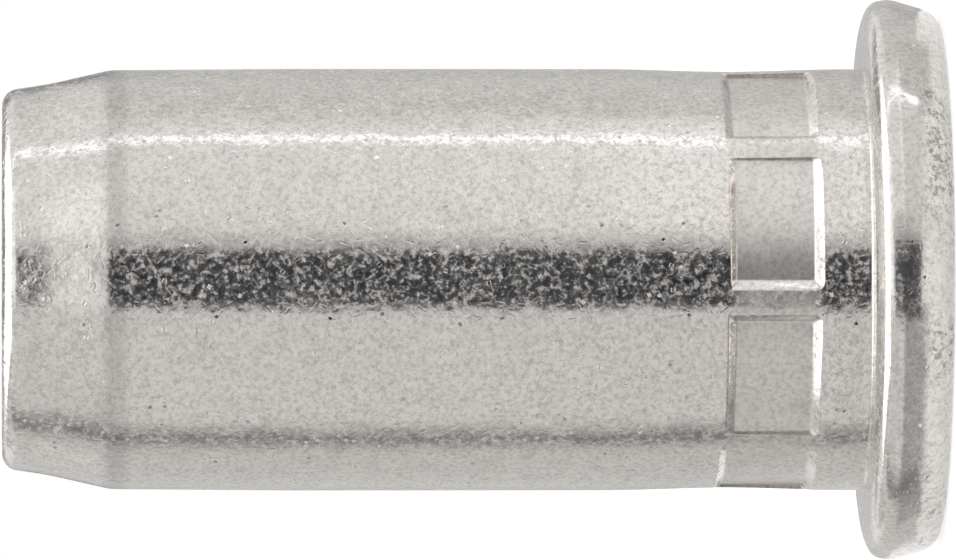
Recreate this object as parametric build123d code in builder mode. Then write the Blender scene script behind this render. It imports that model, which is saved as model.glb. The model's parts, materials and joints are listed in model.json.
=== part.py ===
from build123d import *
from math import cos, radians, sin
import os

# M6 blind rivet nut, turned and formed as one aluminium piece.
#
# Frame: the nut stands on its head. The origin is the centre of the head's outer face,
# and +Z runs along the axis to the open threaded end. All sizes are in millimetres.

# Overall
total_length = 20.02
shank_radius = 4.5

# Head: a flat face, a leaning flank, a rounded crown and a shoulder that rolls under
head_radius = 5.98
head_height = 1.65
face_round = 0.55        # radius from the face to the flank
flank_lean = 17          # degrees that the flank leans out from the axis
crown_round = 0.78       # radius over the widest part
crown_end = 16           # degrees past the widest part where the crown ends
edge_round = 0.33        # tighter radius under the crown
edge_end = 64            # degrees past the widest part where it ends
shoulder_round = 1.2     # shallow radius that meets the flat underside
root_fillet = 0.08       # where the shank meets the underside

# Shallow neck in the shank, around the pockets
neck_depth = 0.054
neck_middle = 4.6
neck_half_length = 2.6

# Lead-in at the threaded end: the shank thins a little, then tapers in two slopes
thinning_start = 14.0
taper_start_radius, taper_start = 4.47, 17.72
taper_middle_radius, taper_middle = 4.165, 19.05
end_radius = 4.023
thinning_round = 60.0
taper_start_round = 1.2
taper_middle_round = 8.0
end_round = 0.24

# Bore: a plain wall that bulges when the nut is set, then the thread's tapping size
entry_radius = 3.45
entry_chamfer = 0.25
shoulder_height = 11.0
thread_radius = 2.5
thread_chamfer = 0.65

# Pockets round the shank, just behind the head. Two facing jaws press four each, and a
# pocket's wall slopes on the side of its jaw's middle and is steep on the other.
jaw_turn = 83.9          # degrees from +X to the middle of the first jaw
pocket_spacing = 45
floor_radius = 4.29
floor_low, floor_high = 2.92, 4.57
mouth_low, mouth_high = 2.72, 4.70      # where the end walls reach shank_radius
steep_side = 1.43        # tangential distance to the steep side wall
sloped_side_floor = 1.23       # the same to the sloped wall, at the floor
sloped_side_mouth = 1.48       # and at the mouth
pocket_corner = 0.15     # round of the two corners by the head; the other two are sharp
beyond = 0.3             # how far the cutting shape runs past the surfaces it cuts


def head_arcs(start):
    """Draw the head's side from the edge of its face to the flat underside."""
    heading = 90 - flank_lean
    face_arc = JernArc(start, (1, 0), face_round, heading)
    flank = Line(face_arc @ 1, face_arc @ 1 + (face_arc % 1) * flank_length)
    crown = JernArc(flank @ 1, flank % 1, crown_round, flank_lean + crown_end)
    edge = JernArc(crown @ 1, crown % 1, edge_round, edge_end - crown_end)
    return JernArc(edge @ 1, edge % 1, shoulder_round, 90 - edge_end)


def neck_arcs(start):
    """Draw the shallow neck as four arcs, each tangent to the one before it."""
    quarter = neck_half_length / 2
    end = start
    heading = (0, 1)
    for sink in (-neck_depth / 2, -neck_depth / 2, neck_depth / 2, neck_depth / 2):
        arc = TangentArc(end, end + Vector(sink, quarter), tangent=heading)
        end = arc @ 1
        heading = arc % 1
    return end


def is_head_corner(edge):
    """Tell a pocket's corners by the head from its other edges."""
    at_start, at_end = (Vector(p.X, p.Y).length for p in (edge @ 0, edge @ 1))
    floor_to_mouth = abs(at_start - at_end) > mouth_run
    return floor_to_mouth and edge.center().Z < (floor_low + floor_high) / 2


# The flank takes up what the arcs leave of the head's height, and the face what is left
# of its radius.
lean = radians(flank_lean)
arc_heights = (
    face_round * (1 - sin(lean))
    + crown_round * (sin(lean) + sin(radians(crown_end)))
    + edge_round * (sin(radians(edge_end)) - sin(radians(crown_end)))
    + shoulder_round * (1 - sin(radians(edge_end)))
)
flank_length = (head_height - arc_heights) / cos(lean)
face_radius = (
    head_radius
    - face_round * cos(lean)
    - flank_length * sin(lean)
    - crown_round * (1 - cos(lean))
)

# The shape of one pocket, on the +X side of the axis
mouth_run = shank_radius - floor_radius
low_slope = (floor_low - mouth_low) / mouth_run
high_slope = (mouth_high - floor_high) / mouth_run
cut_radius = shank_radius + beyond

with BuildPart() as pocket_shape:
    with BuildSketch(Plane.XZ):
        Polygon(
            (floor_radius, floor_low),
            (cut_radius, mouth_low - low_slope * beyond),
            (cut_radius, mouth_high + high_slope * beyond),
            (floor_radius, floor_high),
            align=None,
        )
    revolve(axis=Axis.Z)

    # Side walls: one square to the middle of the pocket's floor, one sloped
    floor_x = (floor_radius**2 - sloped_side_floor**2) ** 0.5
    mouth_x = (shank_radius**2 - sloped_side_mouth**2) ** 0.5
    side_slope = (sloped_side_mouth - sloped_side_floor) / (mouth_x - floor_x)
    inner_x = floor_x - beyond
    outer_x = cut_radius
    with BuildSketch():
        Polygon(
            (inner_x, steep_side),
            (inner_x, -sloped_side_floor + side_slope * beyond),
            (outer_x, -sloped_side_mouth - side_slope * (outer_x - mouth_x)),
            (outer_x, steep_side),
            align=None,
        )
    extrude(amount=total_length, mode=Mode.INTERSECT)
    fillet(pocket_shape.edges().filter_by(is_head_corner), pocket_corner)

with BuildPart() as jaw_pockets:
    first = pocket_spacing / 2
    with PolarLocations(0, 2, start_angle=first, angular_range=2 * pocket_spacing):
        add(pocket_shape.part)
    mirror(about=Plane.XZ)

with BuildPart() as nut_body:
    # Half section, revolved about the axis
    with BuildSketch(Plane.XZ):
        with BuildLine():
            face = Line((entry_radius + entry_chamfer, 0), (face_radius, 0))
            shoulder = head_arcs(face @ 1)
            root = (shank_radius, head_height + root_fillet)
            underside = Line(shoulder @ 1, (shank_radius + root_fillet, head_height))
            RadiusArc(underside @ 1, root, root_fillet)
            neck_start = Line(root, (shank_radius, neck_middle - neck_half_length))
            neck_end = neck_arcs(neck_start @ 1)
            FilletPolyline(
                neck_end,
                (shank_radius, thinning_start),
                (taper_start_radius, taper_start),
                (taper_middle_radius, taper_middle),
                (end_radius, total_length),
                (thread_radius + thread_chamfer, total_length),
                radius=[thinning_round, taper_start_round, taper_middle_round, end_round],
            )
            Polyline(
                (thread_radius + thread_chamfer, total_length),
                (thread_radius, total_length - thread_chamfer),
                (thread_radius, shoulder_height + entry_radius - thread_radius),
                (entry_radius, shoulder_height),
                (entry_radius, entry_chamfer),
                face @ 0,
            )
        make_face()
    revolve(axis=Axis.Z)

    with PolarLocations(0, 2, start_angle=jaw_turn):
        add(jaw_pockets.part, mode=Mode.SUBTRACT)

nut_body.part.label = "nut_body"

os.makedirs("parts", exist_ok=True)
export_step(nut_body.part, "parts/nut_body.step")
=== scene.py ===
import json
from math import cos, degrees, pi, radians, sin, tan

import bpy
import numpy as np
from mathutils import Matrix, Vector


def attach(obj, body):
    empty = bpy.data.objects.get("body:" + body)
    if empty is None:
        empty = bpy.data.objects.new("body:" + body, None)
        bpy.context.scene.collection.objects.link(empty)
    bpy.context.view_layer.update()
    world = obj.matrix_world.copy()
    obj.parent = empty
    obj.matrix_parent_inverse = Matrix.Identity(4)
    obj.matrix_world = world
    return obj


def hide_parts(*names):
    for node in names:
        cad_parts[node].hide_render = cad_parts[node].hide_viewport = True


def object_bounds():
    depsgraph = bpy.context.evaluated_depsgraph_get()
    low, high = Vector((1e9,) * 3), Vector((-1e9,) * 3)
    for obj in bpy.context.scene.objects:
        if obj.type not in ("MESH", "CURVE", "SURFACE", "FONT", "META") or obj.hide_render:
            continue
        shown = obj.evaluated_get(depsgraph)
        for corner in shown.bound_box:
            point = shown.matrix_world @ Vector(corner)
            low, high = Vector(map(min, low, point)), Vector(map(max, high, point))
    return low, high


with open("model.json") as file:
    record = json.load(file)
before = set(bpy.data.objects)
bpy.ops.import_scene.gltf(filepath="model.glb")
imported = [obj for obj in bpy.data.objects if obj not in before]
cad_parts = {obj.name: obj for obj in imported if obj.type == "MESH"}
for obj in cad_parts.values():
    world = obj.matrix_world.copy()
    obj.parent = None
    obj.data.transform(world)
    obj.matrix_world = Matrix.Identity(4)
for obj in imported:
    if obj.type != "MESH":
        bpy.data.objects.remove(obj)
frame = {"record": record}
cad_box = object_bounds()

MM = 0.001

# Sizes in millimetres. The bores and the shank come from the frame's mounts.
MOUNTS = {mount["name"]: mount for mount in frame["record"]["mounts"]}
SHANK_RADIUS = MOUNTS["shank"]["dims"]["r_mm"]
ENTRY_RADIUS = MOUNTS["entry_bore"]["dims"]["r_mm"]
THREAD_MINOR = MOUNTS["thread"]["dims"]["r_mm"]
TOTAL_LENGTH = cad_box[1].z / MM
HEAD_RADIUS = 5.98
HEAD_HEIGHT = MOUNTS["flange_seat"]["pos_m"][2] / MM

FACE_ROUND = 0.55
FLANK_LEAN = 17
CROWN_ROUND = 0.78
CROWN_END = 16
EDGE_ROUND = 0.33
EDGE_END = 64
SHOULDER_ROUND = 1.2
ROOT_FILLET = 0.08
HEAD_LEAN = 0.005        # how far the head's rim leans along X, as a slope

NECK_DEPTH = 0.054
NECK_MIDDLE = 4.6
NECK_HALF_LENGTH = 2.6

THINNING_START = 14.0
TAPER_START = (4.47, 17.72)
TAPER_MIDDLE = (4.165, 19.05)
END_RADIUS = 4.023
TAPER_START_ROUND = 1.2
TAPER_MIDDLE_ROUND = 8.0
END_ROUND = 0.36

ENTRY_CHAMFER = 0.25
BORE_SHOULDER = 11.0
THREAD_CHAMFER = 0.65
THREAD_DEPTH = 0.52
THREAD_PITCH = 1.0

# Pockets: angles are in degrees, and a pocket's own angle grows towards its steep side
JAW_TURN = 83.9
FROM_JAW = (22.5, 67.5)  # from a jaw's middle to its pockets' middles, on each side of it
FLOOR_RADIUS = 4.29
FLOOR_HEIGHTS = (2.92, 4.545)
MOUTH_HEIGHTS = (2.72, 4.715)
FLOOR_ANGLES = (-16.65, 18.5)
MOUTH_ANGLES = (-19.2, 18.8)
HEAD_CORNER = 0.17
FAR_CORNER = 0.05
FLOOR_CORNER = 0.02
STEEP_RISE = 0.1         # how far a floor comes up towards its steep wall
STEEP_RISE_RUN = (12, 6.5)       # the own angle where that starts, and the degrees it takes
STEEP_LEAN = 0.85        # degrees that the steep wall runs back under the ridge
STEEP_LEAN_RUN = (10, 8)         # the same for the lean
# How far each pocket's two ends sit from those heights, in turn round the nut
END_SHIFTS = (
    (0.02, 0.03), (-0.02, 0.01), (0.01, -0.02), (0.03, 0.02),
    (0.03, 0.11), (0.01, 0.0), (-0.02, -0.03), (0.03, 0.01),
)
SHIFT_FADE = (1.9, 5.8)  # heights beyond which the shank isn't shifted
SHIFT_HOLD = 20          # degrees each side of a pocket's middle with the whole shift

# Finish: how smooth the head is, between the shank's 0 and a floor's 1, and how matt the
# ridges between neighbouring pockets are
HEAD_SMOOTH = 0.55
RIDGE_MATT = 0.5

# Mesh rows
EDGE_ROW = 0.03          # a row this far from an edge keeps smooth shading off the flat
WALL_MARGIN = 0.05       # how far fine rows go past a pocket's end walls
WALL_ROWS = 0.022        # how far apart they are


# ---------------------------------------------------------------- the nut's mesh

class Outline:
    """A half section drawn by moving forward and turning, as (radius, height) points."""

    def __init__(self, r, z, heading):
        self.points = [(r, z)]
        self.heading = heading

    def forward(self, length, steps=1):
        r, z = self.points[-1]
        a = radians(self.heading)
        for i in range(1, steps + 1):
            part = length * i / steps
            self.points.append((r + part * cos(a), z + part * sin(a)))

    def turn(self, radius, angle, steps):
        """Follow an arc: a positive angle turns left, and a negative one right."""
        r, z = self.points[-1]
        side = 90 if angle > 0 else -90
        to_centre = radians(self.heading + side)
        centre = (r + radius * cos(to_centre), z + radius * sin(to_centre))
        for i in range(1, steps + 1):
            a = radians(self.heading + angle * i / steps - side)
            self.points.append((centre[0] + radius * cos(a), centre[1] + radius * sin(a)))
        self.heading += angle

    def go_to(self, r, z, steps=1):
        start = np.array(self.points[-1])
        for i in range(1, steps + 1):
            self.points.append(tuple(start + (np.array((r, z)) - start) * i / steps))

    def rounded_corners(self, corners, rounds, arc_steps, line_steps):
        """Go through corners joined by arcs, up to the end of the last one's arc."""
        for corner, following, radius, arc, run in zip(
            corners, corners[1:], rounds, arc_steps, line_steps
        ):
            incoming = np.array(corner) - self.points[-1]
            outgoing = np.array(following) - corner
            self.heading = degrees(np.arctan2(incoming[1], incoming[0]))
            turn = degrees(np.arctan2(outgoing[1], outgoing[0])) - self.heading
            tangent = radius * tan(radians(abs(turn) / 2))
            self.forward(float(np.hypot(*incoming)) - tangent, run)
            self.turn(radius, turn, arc)

    def up_to(self, z, step):
        self.points.extend((self.points[-1][0], h) for h in spaced(self.points[-1][1], z, step))


def ramp(value, start, run):
    """0 up to the start, then a straight rise to 1 over the run."""
    return np.clip((value - start) / run, 0, 1)


def spaced(start, stop, step):
    """Even steps from just after the start up to the stop."""
    count = max(1, round(abs(stop - start) / step))
    return [start + (stop - start) * i / count for i in range(1, count + 1)]


def outside_rows():
    """The outline from the mouth of the entry bore, round the head, to the thread's mouth."""
    lean = radians(FLANK_LEAN)
    arc_heights = (
        FACE_ROUND * (1 - sin(lean))
        + CROWN_ROUND * (sin(lean) + sin(radians(CROWN_END)))
        + EDGE_ROUND * (sin(radians(EDGE_END)) - sin(radians(CROWN_END)))
        + SHOULDER_ROUND * (1 - sin(radians(EDGE_END)))
    )
    flank = (HEAD_HEIGHT - arc_heights) / cos(lean)
    face_radius = (
        HEAD_RADIUS
        - FACE_ROUND * cos(lean)
        - flank * sin(lean)
        - CROWN_ROUND * (1 - cos(lean))
    )
    start = ENTRY_RADIUS + ENTRY_CHAMFER
    line = Outline(start, 0, 0)
    line.forward(EDGE_ROW)
    line.forward(face_radius - start - 2 * EDGE_ROW, 3)
    line.forward(EDGE_ROW)
    line.turn(FACE_ROUND, 90 - FLANK_LEAN, 14)
    line.forward(flank, 3)
    line.turn(CROWN_ROUND, FLANK_LEAN + CROWN_END, 8)
    line.turn(EDGE_ROUND, EDGE_END - CROWN_END, 8)
    line.turn(SHOULDER_ROUND, 90 - EDGE_END, 7)
    line.forward(line.points[-1][0] - SHANK_RADIUS - ROOT_FILLET, 3)
    line.turn(ROOT_FILLET, -90, 5)

    line.up_to(MOUTH_HEIGHTS[0] - WALL_MARGIN, 0.16)
    line.up_to(FLOOR_HEIGHTS[0] + WALL_MARGIN, WALL_ROWS)
    line.up_to(FLOOR_HEIGHTS[1] - WALL_MARGIN, 0.2)
    line.up_to(MOUTH_HEIGHTS[1] + WALL_MARGIN, WALL_ROWS)
    line.up_to(NECK_MIDDLE + NECK_HALF_LENGTH, 0.25)
    line.up_to(THINNING_START, 0.6)

    corners = (TAPER_START, TAPER_MIDDLE, (END_RADIUS, TOTAL_LENGTH), (0, TOTAL_LENGTH))
    rounds = (TAPER_START_ROUND, TAPER_MIDDLE_ROUND, END_ROUND)
    line.rounded_corners(corners, rounds, (6, 5, 14), (10, 5, 5))
    end_row = 0.02
    line.forward(end_row)
    line.go_to(THREAD_MINOR + THREAD_CHAMFER + end_row, TOTAL_LENGTH, 2)
    line.go_to(THREAD_MINOR + THREAD_CHAMFER, TOTAL_LENGTH)
    return line.points


def inside_rows():
    """The bore, from the thread's mouth down to the mouth of the entry bore."""
    cone_top = BORE_SHOULDER + ENTRY_RADIUS - THREAD_MINOR
    line = Outline(THREAD_MINOR + THREAD_CHAMFER, TOTAL_LENGTH, -90)
    top = TOTAL_LENGTH - THREAD_CHAMFER
    line.go_to(THREAD_MINOR, top, 8)
    rows_per_turn = 12
    line.go_to(THREAD_MINOR, cone_top, round((top - cone_top) / THREAD_PITCH * rows_per_turn))
    line.go_to(ENTRY_RADIUS, BORE_SHOULDER, 10)
    line.forward(EDGE_ROW)
    line.go_to(ENTRY_RADIUS, ENTRY_CHAMFER + EDGE_ROW, 8)
    line.go_to(ENTRY_RADIUS, ENTRY_CHAMFER)
    line.go_to(ENTRY_RADIUS + ENTRY_CHAMFER - 0.01, 0.01, 2)
    return line.points[1:]


def column_angles():
    """Angles round the nut, closer together at the pockets' side walls."""
    sloped_margin, steep_margin = 0.4, 0.6
    ridge_step, sloped_step, floor_step, steep_step = 1.2, 0.36, 2.0, 0.12
    one_side = []        # from a jaw's middle to a quarter turn from it
    start = 0
    for middle in FROM_JAW:
        sloped_start = middle + MOUTH_ANGLES[0] - sloped_margin
        sloped_end = middle + FLOOR_ANGLES[0] + sloped_margin
        steep_start = middle + FLOOR_ANGLES[1] - steep_margin
        steep_end = middle + MOUTH_ANGLES[1] + steep_margin
        one_side += spaced(start, sloped_start, ridge_step)
        one_side += spaced(sloped_start, sloped_end, sloped_step)
        one_side += spaced(sloped_end, steep_start, floor_step)
        one_side += spaced(steep_start, steep_end, steep_step)
        start = steep_end
    one_side += spaced(start, 90, ridge_step)
    half = [-a for a in one_side[-2::-1]] + [0] + one_side
    return np.array([JAW_TURN + turn + a for turn in (0, 180) for a in half])


def rounded_box(y, z, y_ends, z_ends, corner):
    """Signed distance to a rounded rectangle, negative inside it."""
    qy = np.abs(y - sum(y_ends) / 2) - (y_ends[1] - y_ends[0]) / 2 + corner
    qz = np.abs(z - sum(z_ends) / 2) - (z_ends[1] - z_ends[0]) / 2 + corner
    outside = np.hypot(np.maximum(qy, 0), np.maximum(qz, 0))
    return outside + np.minimum(np.maximum(qy, qz), 0) - corner


def soft_clamp(t, k=0.1):
    """Clamp to 0..1 with both corners rounded over a width k."""
    def soft_max(a, b):
        h = np.clip(0.5 + 0.5 * (a - b) / k, 0, 1)
        return b + (a - b) * h + k * h * (1 - h)
    return 1 - soft_max(1 - soft_max(t, 0.0), 0.0)


def pocket_place(angle):
    """Each point's own angle in its pocket, and the side of its jaw that it is on."""
    from_jaw = (angle - JAW_TURN + 90) % 180 - 90
    nearest = np.where(np.abs(from_jaw) < 45, *FROM_JAW)
    return np.abs(from_jaw) - nearest, np.where(from_jaw < 0, -1, 1)


def pocket_share(own_angle, z):
    """0 on the shank, 1 on a pocket's floor, and between them on its walls."""
    to_arc = radians(SHANK_RADIUS)
    y = own_angle * to_arc
    corner = np.where(z < sum(MOUTH_HEIGHTS) / 2, HEAD_CORNER, FAR_CORNER)
    inside_mouth = -rounded_box(y, z, [a * to_arc for a in MOUTH_ANGLES], MOUTH_HEIGHTS, corner)
    floor_arcs = [a * to_arc for a in FLOOR_ANGLES]
    off_floor = np.maximum(rounded_box(y, z, floor_arcs, FLOOR_HEIGHTS, FLOOR_CORNER), 0)
    not_zero = 1e-6
    share = soft_clamp(inside_mouth / np.maximum(inside_mouth + off_floor, not_zero))
    mouth_margin = 0.02
    return np.where(inside_mouth < -mouth_margin, 0, share)


def steep_wall(own_angle, share):
    """1 in the middle of a pocket's steep wall, fading to 0 at its floor and its mouth."""
    return 4 * share * (1 - share) * (own_angle > FLOOR_ANGLES[1] - 0.5)


def on_ridge(own_angle, z):
    """1 on the ridges between neighbouring pockets, 0 away from them."""
    in_gap = (own_angle > MOUTH_ANGLES[1]) | (own_angle < MOUTH_ANGLES[0])
    middle = sum(MOUTH_HEIGHTS) / 2
    half_length = (MOUTH_HEIGHTS[1] - MOUTH_HEIGHTS[0]) / 2
    return in_gap * ramp(half_length - np.abs(z - middle), 0, 0.2)


def end_shift(angle, z):
    """How far the pockets' ends are off their heights, fading out along the shank."""
    spacing = 360 / len(END_SHIFTS)
    first = JAW_TURN - FROM_JAW[1]
    held = (-SHIFT_HOLD, SHIFT_HOLD)
    stops = [spacing * k + hold for k in range(len(END_SHIFTS)) for hold in held]
    low, high = (
        np.interp(
            angle - first, stops, np.repeat([pair[end] for pair in END_SHIFTS], 2), period=360
        )
        for end in (0, 1)
    )
    low_end = (MOUTH_HEIGHTS[0] - WALL_MARGIN, FLOOR_HEIGHTS[0] + WALL_MARGIN)
    high_end = (FLOOR_HEIGHTS[1] - WALL_MARGIN, MOUTH_HEIGHTS[1] + WALL_MARGIN)
    low_share = np.interp(z, (SHIFT_FADE[0], *low_end, FLOOR_HEIGHTS[1]), (0, 1, 1, 0))
    high_share = np.interp(z, (FLOOR_HEIGHTS[0], *high_end, SHIFT_FADE[1]), (0, 1, 1, 0))
    return low * low_share + high * high_share


def neck_depth(z):
    """The shallow draw-in of the shank around the pockets."""
    from_middle = ramp(np.abs(z - NECK_MIDDLE), 0, NECK_HALF_LENGTH)
    return NECK_DEPTH * 0.5 * (1 + np.cos(pi * from_middle))


def thread_radius(angle, z):
    """The right-handed internal thread: flat crests, 60 degree flanks, flat roots."""
    phase = (z / THREAD_PITCH - angle / 360) % 1
    from_root = np.abs(phase - 0.5) * THREAD_PITCH
    flank = THREAD_DEPTH * tan(radians(30))
    half_root = THREAD_PITCH / 16
    return THREAD_MINOR + THREAD_DEPTH * np.clip(1 - (from_root - half_root) / flank, 0, 1)


def nut_grid():
    """The nut's points as rows by columns, and how smooth and how matt each of them is."""
    outside = np.array(outside_rows())
    inside = np.array(inside_rows())
    angles = column_angles()

    r, a = np.meshgrid(outside[:, 0], angles, indexing="ij")
    z = np.repeat(outside[:, 1:], len(angles), axis=1)
    own_angle, side = pocket_place(a)
    on_shank = (z > HEAD_HEIGHT) & (z < THINNING_START)
    share = np.where(on_shank, pocket_share(own_angle, z), 0)
    r = r - np.where(on_shank, neck_depth(z), 0)
    floor_radius = FLOOR_RADIUS + STEEP_RISE * ramp(own_angle, *STEEP_RISE_RUN)
    r = r + (floor_radius - r) * share
    a = a + side * STEEP_LEAN * share * ramp(own_angle, *STEEP_LEAN_RUN)
    smooth = np.maximum(share, HEAD_SMOOTH * ramp(r, SHANK_RADIUS, 0.2))
    matt = np.maximum(steep_wall(own_angle, share), RIDGE_MATT * on_ridge(own_angle, z))
    on_rim = ramp(r, SHANK_RADIUS, 0.4) * ramp(z, 0, 0.6)
    z = z + np.where(on_shank, end_shift(a, z), 0) + on_rim * HEAD_LEAN * r * np.cos(np.radians(a))

    r_in, a_in = np.meshgrid(inside[:, 0], angles, indexing="ij")
    z_in = np.repeat(inside[:, 1:], len(angles), axis=1)
    threaded = z_in > BORE_SHOULDER
    r_in = np.where(threaded, np.maximum(r_in, thread_radius(a_in, z_in)), r_in)

    r, a, z = (np.vstack(pair) for pair in ((r, r_in), (a, a_in), (z, z_in)))
    t = np.radians(a)
    points = np.stack((r * np.cos(t), r * np.sin(t), z), axis=-1) * MM
    inner = np.zeros_like(z_in)
    return points, {"smooth": np.vstack((smooth, inner)), "matt": np.vstack((matt, inner))}


def mesh_from_grid(name, points, fields):
    """A closed mesh from rows of points that wrap round both ways."""
    rows, columns = points.shape[:2]
    index = np.arange(rows * columns).reshape(rows, columns)
    right = np.roll(index, -1, axis=1)
    quads = np.stack(
        (index, right, np.roll(right, -1, axis=0), np.roll(index, -1, axis=0)), axis=-1
    )
    mesh = bpy.data.meshes.new(name)
    mesh.from_pydata(points.reshape(-1, 3).tolist(), [], quads.reshape(-1, 4).tolist())
    mesh.polygons.foreach_set("use_smooth", [True] * len(mesh.polygons))
    for field, values in fields.items():
        layer = mesh.attributes.new(field, "FLOAT", "POINT")
        layer.data.foreach_set("value", values.reshape(-1).astype(np.float32))
    mesh.update()
    piece = bpy.data.objects.new(name, mesh)
    bpy.context.scene.collection.objects.link(piece)
    return piece


# ---------------------------------------------------------------- materials

class Nodes:
    """Short calls for building a node tree."""

    def __init__(self, tree):
        self.tree = tree
        tree.nodes.clear()

    def new(self, kind, **inputs):
        node = self.tree.nodes.new(kind)
        for key, value in inputs.items():
            self.set(node, key, value)
        return node

    def set(self, node, key, value):
        """Set or link an input by its name or its number, or else set a node property."""
        name = key.replace("_", " ")
        if name in node.inputs.keys():
            socket = node.inputs[name]
        elif key.startswith("in") and key[2:].isdigit():
            socket = node.inputs[int(key[2:])]
        else:
            setattr(node, key, value)
            return
        if isinstance(value, bpy.types.NodeSocket):
            self.tree.links.new(value, socket)
        else:
            socket.default_value = value

    def math(self, operation, a, b=None, c=None):
        node = self.new("ShaderNodeMath", operation=operation)
        for i, value in enumerate((a, b, c)):
            if value is not None:
                self.set(node, f"in{i}", value)
        return node.outputs[0]

    def vector(self, operation, a, b=None, scale=None):
        node = self.new("ShaderNodeVectorMath", operation=operation, in0=a)
        if b is not None:
            self.set(node, "in1", b)
        if scale is not None:
            self.set(node, "Scale", scale)
        return node.outputs["Value" if operation in ("DOT_PRODUCT", "LENGTH") else "Vector"]

    def noise(self, point, scale, detail=2.0, roughness=0.5):
        node = self.new("ShaderNodeTexNoise", Vector=point, Scale=scale, Detail=detail,
                        Roughness=roughness)
        return node.outputs["Fac"]

    def range(self, value, low, high, to_low=0.0, to_high=1.0, smooth=True):
        kind = "SMOOTHSTEP" if smooth else "LINEAR"
        node = self.new("ShaderNodeMapRange", interpolation_type=kind, in0=value, in1=low,
                        in2=high, in3=to_low, in4=to_high)
        return node.outputs[0]

    def attribute(self, name):
        return self.new("ShaderNodeAttribute", attribute_name=name).outputs["Fac"]


def scattered(n, point, normal, per_mm, seed):
    """Random spots with a random direction each, lying in the surface.

    Returns the distances along and across the nearest spot's direction, and its own number
    from 0 to 1.
    """
    shifted = n.vector("ADD", point, (seed, seed * 1.7, -seed))
    cells = n.new("ShaderNodeTexVoronoi", Vector=shifted, Scale=per_mm, Randomness=1.0)
    offset = n.vector("SUBTRACT", shifted, cells.outputs["Position"])
    axis = n.vector("SUBTRACT", cells.outputs["Color"], (0.5, 0.5, 0.5))
    sunk = n.vector("SCALE", normal, scale=n.vector("DOT_PRODUCT", axis, normal))
    along = n.vector("NORMALIZE", n.vector("SUBTRACT", axis, sunk))
    lifted = n.vector("SCALE", normal, scale=n.vector("DOT_PRODUCT", offset, normal))
    flat = n.vector("SUBTRACT", offset, lifted)
    run = n.vector("DOT_PRODUCT", flat, along)
    across = n.vector("LENGTH", n.vector("SUBTRACT", flat, n.vector("SCALE", along, scale=run)))
    number = n.new("ShaderNodeTexWhiteNoise", noise_dimensions="3D",
                   Vector=cells.outputs["Position"]).outputs["Value"]
    return run, across, number


def strokes(n, point, normal, per_mm, width, length, seed):
    """Short random strokes: 1 in a stroke's middle, 0 away from it."""
    run, across, number = scattered(n, point, normal, per_mm, seed)
    reach = n.math("MULTIPLY", n.range(number, 0, 1, 0.35, 1.0, smooth=False), length)
    narrow = n.range(across, width * 0.3, width, 1.0, 0.0)
    short = n.range(n.math("DIVIDE", n.math("ABSOLUTE", run), reach), 0.7, 1.0, 1.0, 0.0)
    return n.math("MULTIPLY", narrow, short)


def knocks(n, point, normal, per_mm, size, share, seed):
    """Small tilted knocks, as heights that slope across each, on a share of the spots."""
    run, across, number = scattered(n, point, normal, per_mm, seed)
    off_middle = n.math("MAXIMUM", n.math("ABSOLUTE", run), across)
    inside = n.range(off_middle, size * 0.7, size, 1.0, 0.0)
    chosen = n.math("LESS_THAN", number, share)
    return n.math("MULTIPLY", n.math("MULTIPLY", run, inside), chosen)


METAL_COLOUR = (0.695, 0.666, 0.635, 1)
SHANK_ROUGHNESS = 0.13       # of the metal without its film, on the shank and the head
FLOOR_ROUGHNESS = 0.4        # the same on a pocket's floor
FILM_ROUGHNESS = 0.65
FLOOR_FILM = 0.2             # how much of a pocket's floor the film covers
MOST_FILM = 0.9              # how much it covers at most


def surface_heights(n, point, scratch, knock, smooth):
    """Heights in micrometres, from noises whose scales are in cycles per millimetre."""
    grain = n.noise(point, 11.0, 2.0, 0.55)
    dents = n.noise(point, 4.0, 1.0, 0.5)
    waves = n.noise(point, 1.1, 1.0, 0.5)
    height = n.math("MULTIPLY", grain, 1.8)
    height = n.math("MULTIPLY_ADD", dents, 5.0, height)
    height = n.math("MULTIPLY_ADD", scratch, -1.1, height)
    height = n.math("MULTIPLY_ADD", knock, 190.0, height)
    height = n.math("MULTIPLY", height, n.math("MULTIPLY_ADD", smooth, -0.6, 1.0))
    return n.math("MULTIPLY_ADD", waves, 14.0, height)


def matt_film(n, point, patches, scratch, smooth, matt_share):
    """How much a thin matt film covers: uneven grains, and evenly where the nut was pressed."""
    grains = n.noise(point, 8.0, 3.0, 0.7)
    film = n.math("MULTIPLY_ADD", patches, 5.0, n.math("MULTIPLY_ADD", grains, 14.0, -11.35))
    film = n.math("EXPONENT", film)
    marked = n.range(n.noise(point, 0.7, 1.0, 0.5), 0.42, 0.58, 0.0, 0.4)
    film = n.math("MULTIPLY_ADD", scratch, marked, film)
    film = n.new("ShaderNodeMix", in0=smooth, in2=film, in3=FLOOR_FILM).outputs[0]
    return n.math("MINIMUM", n.math("ADD", film, matt_share), MOST_FILM)


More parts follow.
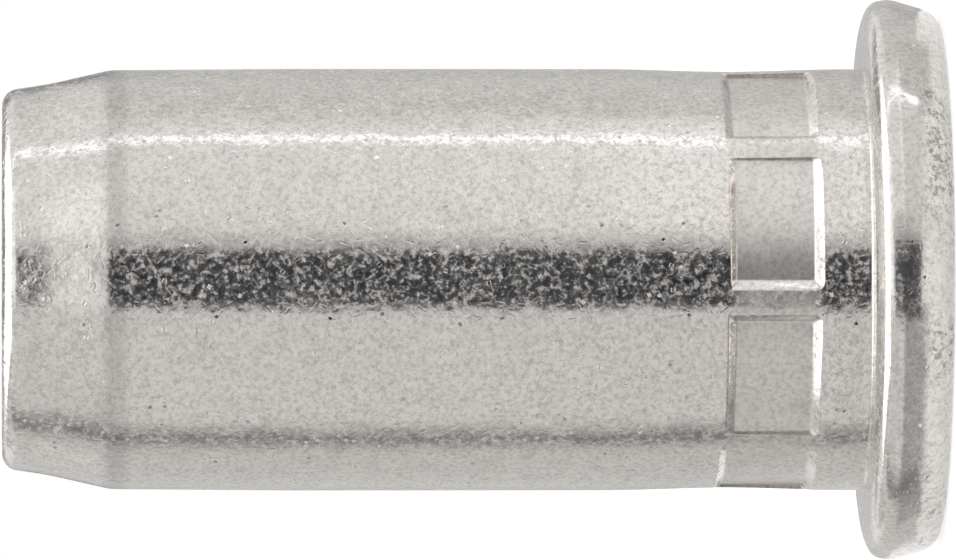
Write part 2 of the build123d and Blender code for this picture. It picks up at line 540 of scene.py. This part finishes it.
def clean_share(n, point, patches):
    """1 where the metal shows its own colour, less where specks, soot or scuffs darken it."""
    specks = n.range(n.noise(point, 10.0, 2.0, 0.65), 0.3, 0.6, 0.78, 1.0)
    blotch = n.range(patches, 0.2, 0.6, 0.88, 1.0)
    soot = n.range(n.noise(point, 5.5, 3.0, 0.75), 0.28, 0.4, 0.8, 1.0)
    share = n.math("MULTIPLY", n.math("MULTIPLY", specks, blotch), soot)

    # Scuffs on one side of the head's rim, and a darker ring where the taper starts
    along = n.new("ShaderNodeSeparateXYZ", Vector=point).outputs["Z"]
    rim = n.range(along, 0.45, 0.8, 1.0, 0.0)
    side = n.vector("ADD", point, (5.0, 0.0, 0.0))
    scuffed = n.math("MULTIPLY", rim, n.range(n.noise(side, 0.35, 1.0, 0.5), 0.46, 0.56))
    scuffs = n.math("MULTIPLY", scuffed, n.range(n.noise(point, 7.0, 3.0, 0.7), 0.46, 0.62))
    share = n.math("MULTIPLY", share, n.math("MULTIPLY_ADD", scuffs, -0.5, 1.0))
    from_ring = n.math("ABSOLUTE", n.math("SUBTRACT", along, TAPER_START[1] - 0.1))
    return n.math("MULTIPLY", share, n.range(from_ring, 0.05, 0.4, 0.82, 1.0))


def aluminium_material():
    """Bright aluminium from the tumbler: matt grains, shallow dents, strokes and knocks."""
    material = bpy.data.materials.new("tumbled_aluminium")
    material.use_nodes = True
    n = Nodes(material.node_tree)
    coordinates = n.new("ShaderNodeTexCoord")
    point = n.vector("SCALE", coordinates.outputs["Object"], scale=1 / MM)
    normal = n.new("ShaderNodeNewGeometry").outputs["Normal"]
    smooth, matt_share = n.attribute("smooth"), n.attribute("matt")
    scratch = strokes(n, point, normal, per_mm=3.8, width=0.03, length=0.15, seed=11.7)
    knock = knocks(n, point, normal, per_mm=6.0, size=0.045, share=0.08, seed=7.3)
    patches = n.noise(point, 2.2, 4.0, 0.6)

    height = surface_heights(n, point, scratch, knock, smooth)
    bump = n.new("ShaderNodeBump", Strength=1.0, Distance=0.001 * MM, Height=height)
    film = matt_film(n, point, patches, scratch, smooth, matt_share)
    polish = n.range(smooth, HEAD_SMOOTH, 1.0, SHANK_ROUGHNESS, FLOOR_ROUGHNESS, smooth=False)
    colour = n.new("ShaderNodeMix", data_type="RGBA", in0=clean_share(n, point, patches),
                   in6=(0.0, 0.0, 0.0, 1), in7=METAL_COLOUR)

    bright, matt = (
        n.new("ShaderNodeBsdfPrincipled", Metallic=1.0, Roughness=roughness,
              Base_Color=colour.outputs[2], Normal=bump.outputs[0])
        for roughness in (polish, FILM_ROUGHNESS)
    )
    mix = n.new("ShaderNodeMixShader", Fac=film, in1=bright.outputs[0], in2=matt.outputs[0])
    n.new("ShaderNodeOutputMaterial", Surface=mix.outputs[0])
    return material


# ---------------------------------------------------------------- stage, light and camera

def background_share(n):
    """1 for the rays that should see the plain white background, 0 for the rest."""
    path = n.new("ShaderNodeLightPath")
    seen = n.math("MAXIMUM", path.outputs["Is Camera Ray"], path.outputs["Is Glossy Ray"])
    return n.math("MAXIMUM", seen, path.outputs["Is Transmission Ray"])


def make_world(level):
    """White for the rays that see the background, and of the given level for the rest."""
    world = bpy.data.worlds.new("studio")
    world.use_nodes = True
    bpy.context.scene.world = world
    n = Nodes(world.node_tree)
    strength = n.range(background_share(n), 0, 1, level, 1.0, smooth=False)
    background = n.new("ShaderNodeBackground", Color=(1, 1, 1, 1), Strength=strength)
    n.new("ShaderNodeOutputWorld", Surface=background.outputs[0])


def make_floor(radius):
    """A round white floor that still takes the nut's shadow: the radius is in metres."""
    turns = np.linspace(0, 2 * pi, 64, endpoint=False)
    corners = [(radius * cos(a), radius * sin(a), 0) for a in turns]
    mesh = bpy.data.meshes.new("floor")
    mesh.from_pydata(corners, [], [list(range(len(corners)))])
    floor = bpy.data.objects.new("floor", mesh)
    bpy.context.scene.collection.objects.link(floor)
    material = bpy.data.materials.new("floor_white")
    material.use_nodes = True
    n = Nodes(material.node_tree)
    diffuse = n.new("ShaderNodeBsdfDiffuse", Color=(0.4, 0.4, 0.4, 1))
    glow = n.new("ShaderNodeEmission", Color=(1, 1, 1, 1),
                 Strength=n.math("MULTIPLY", background_share(n), 0.75))
    both = n.new("ShaderNodeAddShader", in0=diffuse.outputs[0], in1=glow.outputs[0])
    n.new("ShaderNodeOutputMaterial", Surface=both.outputs[0])
    mesh.materials.append(material)


# Cards lie just off the floor, each at its own height: sizes are in millimetres
SCREEN_INNER = 6.75      # the radius at which a screen starts on the floor, past the head's rim
SCREEN_LIFT = 0.05
SCREEN_LIMIT = 200       # a screen lies higher by a thousandth of what its radius is short of it
PATCH_LIFT = 0.08


def make_card(name, grid, half_width, ends, level, soft):
    """A card that only the nut's reflections see, from rows of (point, across, up).

    It fades across each edge. Soft holds the width of the fade at the sides and at the ends,
    or at the sides, at the first end and at the last one.
    """
    columns = len(grid[0])
    faces = []
    for row in range(len(grid) - 1):
        for i in range(columns - 1):
            a = row * columns + i
            faces.append((a, a + 1, a + columns + 1, a + columns))
    places = [place for row in grid for place in row]
    mesh = bpy.data.meshes.new(name)
    mesh.from_pydata([Vector(point) * MM for point, _, _ in places], [], faces)
    layer = mesh.uv_layers.new(name="card")
    for loop in mesh.loops:
        layer.data[loop.index].uv = places[loop.vertex_index][1:]
    card = bpy.data.objects.new(name, mesh)
    bpy.context.scene.collection.objects.link(card)
    for ray in ("camera", "diffuse", "transmission", "volume_scatter", "shadow"):
        setattr(card, f"visible_{ray}", False)

    material = bpy.data.materials.new(name)
    material.use_nodes = True
    n = Nodes(material.node_tree)
    uv = n.new("ShaderNodeUVMap", uv_map="card")
    axes = n.new("ShaderNodeSeparateXYZ", Vector=uv.outputs[0])
    across = n.math("ABSOLUTE", axes.outputs["X"])
    up = axes.outputs["Y"]
    side, start, end = soft[0] / 2, soft[1] / 2, soft[-1] / 2
    cover = n.range(across, half_width - side, half_width + side, 1.0, 0.0)
    cover = n.math("MULTIPLY", cover, n.range(up, ends[0] - start, ends[0] + start, 0.0, 1.0))
    cover = n.math("MULTIPLY", cover, n.range(up, ends[1] - end, ends[1] + end, 1.0, 0.0))
    clear = n.new("ShaderNodeBsdfTransparent")
    colour = level if isinstance(level, tuple) else (level, level, level)
    glow = n.new("ShaderNodeEmission", Color=(*colour, 1), Strength=1.0)
    mix = n.new("ShaderNodeMixShader", Fac=cover, in1=clear.outputs[0], in2=glow.outputs[0])
    n.new("ShaderNodeOutputMaterial", Surface=mix.outputs[0])
    mesh.materials.append(material)


def make_round_card(name, middle, half_width, rows, ends, level, soft):
    """A card that bends round the nut, from rows of (radius, height, up).

    Its angles are in degrees round the axis, from the camera's side towards +X, as the head
    reflects them. A ray starts out from the head's edge, so a near row turns less.
    """
    turns = np.linspace(-1, 1, 25) * (half_width + soft[0] / 2)
    grid = []
    for r, z, up in rows:
        spread = 1 - HEAD_RADIUS / (2 * r)
        angles = [radians((middle + turn) * spread) for turn in turns]
        grid.append([((r * sin(a), -r * cos(a), z), t, up) for a, t in zip(angles, turns)])
    make_card(name, grid, half_width, ends, level, soft)


def make_screen(name, middle, half_width, top, level, soft, radius, bottom=None):
    """A curved screen round the nut: its top and bottom are in degrees up from the floor.

    Without a bottom it runs in over the floor to just short of the head. Screens of a smaller
    radius lie higher there, so that no two share a place.
    """
    lift = SCREEN_LIFT + (SCREEN_LIMIT - radius) * 0.001
    if bottom is None:
        rows = [(SCREEN_INNER * k, lift, 0) for k in (1, 1.1, 1.3, 1.7, 2.5, 5)]
        start, ends = 0, (-90, top)
    else:
        rows = []
        start, ends = bottom - soft[1] / 2, (bottom, top)
    for up in np.linspace(start, top + soft[1] / 2, 9):
        rows.append((radius, lift + radius * tan(radians(up)), up))
    make_round_card(name, middle, half_width, rows, ends, level, soft)


def make_floor_patch(name, middle, half_width, ends, level, soft):
    """A curved strip lying on the floor round the nut.

    Its ends, and their softness, are given as the head's radius over theirs, less than 0.
    """
    places = np.linspace(ends[0] - soft[1] / 2, ends[1] + soft[-1] / 2, 12)
    rows = [(-HEAD_RADIUS / up, PATCH_LIFT, up) for up in places]
    make_round_card(name, middle, half_width, rows, ends, level, soft)


def make_ceiling(name, x_ends, y_ends, height, level, soft):
    """A flat card over the nut."""
    middle = sum(x_ends) / 2
    half_width = (x_ends[1] - x_ends[0]) / 2
    reach = half_width + soft[0] / 2
    grid = [
        [((middle + across, y, height), across, y) for across in (-reach, reach)]
        for y in (y_ends[0] - soft[1] / 2, y_ends[1] + soft[1] / 2)
    ]
    make_card(name, grid, half_width, y_ends, level, soft)


def make_lamp(name, place, target, size, power):
    light = bpy.data.lights.new(name, "AREA")
    light.shape = "RECTANGLE"
    light.size, light.size_y = size[0] * MM, size[1] * MM
    light.energy = power
    lamp = bpy.data.objects.new(name, light)
    lamp.location = Vector(place) * MM
    direction = (Vector(target) - Vector(place)).normalized()
    lamp.rotation_euler = direction.to_track_quat("-Z", "Y").to_euler()
    lamp.visible_camera = False
    bpy.context.scene.collection.objects.link(lamp)


# The camera's place, aim and lens, in millimetres
CAMERA_DISTANCE = 300.6
CAMERA_HEIGHT = 19.41
CAMERA_SIDE = -0.007
AIM_HEIGHT = 9.863
LENS = 530.2


def make_camera():
    """Seen from the side, with the head to the right of the picture."""
    camera = bpy.data.cameras.new("camera")
    camera.lens = LENS
    camera.sensor_width = 36
    camera.clip_start, camera.clip_end = 0.01, 10
    viewer = bpy.data.objects.new("camera", camera)
    place = Vector((CAMERA_SIDE, -CAMERA_DISTANCE, CAMERA_HEIGHT)) * MM
    look = (Vector((CAMERA_SIDE, 0, AIM_HEIGHT)) * MM - place).normalized()
    up = Vector((1, 0, 0))
    right = look.cross(up).normalized()
    rotation = Matrix((right, up, -look)).transposed()
    viewer.matrix_world = Matrix.Translation(place) @ rotation.to_4x4()
    bpy.context.scene.collection.objects.link(viewer)
    bpy.context.scene.camera = viewer


def make_stage():
    bpy.context.scene.view_settings.view_transform = "Standard"
    make_world(0.6)
    make_floor(0.3)

    # Dark behind the camera for the band along the shank, and a softer shade round it
    make_screen("camera_side", 0, 15.8, 23.7, (0.015, 0.018, 0.026), (2, 5), 150)
    make_screen("camera_shade", 7, 17, 30, 0.55, (15, 10), 152)
    # Bright: a broad panel high up, and the narrow one of the highlight along the shank
    make_screen("panel_above", 24, 36, 70, 1.32, (12, 8), 155, bottom=27)
    make_screen("highlight", 83.9, 2.6, 40, (1.9, 2.0, 2.1), (2.4, 20), 160)
    # Greys towards -X: the thin dark line low in the picture, and the tone round it
    make_screen("dark_left", -98, 7, 40, 0.19, (17, 20), 165)
    make_screen("high_left", -70, 52, 70, 0.76, (14, 8), 170, bottom=13)
    make_screen("grey_left", -62, 46, 60, 0.85, (14, 20), 175)
    # Behind the nut, for the threaded end and the two edges of the shank
    make_screen("end_shade", 187, 28, 75, 0.3, (16, 6), 40, bottom=24)
    make_screen("grey_low", -132, 28, 16, 0.74, (14, 10), 178)
    make_screen("back_middle", 180, 32, 14, 0.58, (36, 8), 180)
    make_screen("grey_back", 170, 70, 16, 0.8, (16, 10), 185)
    # On the floor and overhead, for what faces down or up, such as the head's flank, the
    # pockets' end walls and the taper
    make_floor_patch("floor_left", -70, 58, (-0.91, -0.3), 0.44, (10, 0.04, 0.35))
    make_floor_patch("floor_right", 48, 32, (-0.9, -0.42), 0.87, (10, 0.04, 0.4))
    make_floor_patch("floor_far_right", 105, 25, (-0.96, -0.42), 0.75, (10, 0.04, 0.4))
    make_ceiling("grey_ceiling", (-500, -115), (-300, 300), 190, 0.6, (40, 60))
    make_lamp("overhead", (30, 0, 180), (30, 0, 0), (280, 240), 0.34)
    make_camera()


# ---------------------------------------------------------------- build

nut = mesh_from_grid("nut", *nut_grid())
nut.data.materials.append(aluminium_material())
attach(nut, "root")
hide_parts("nut_body")

make_stage()
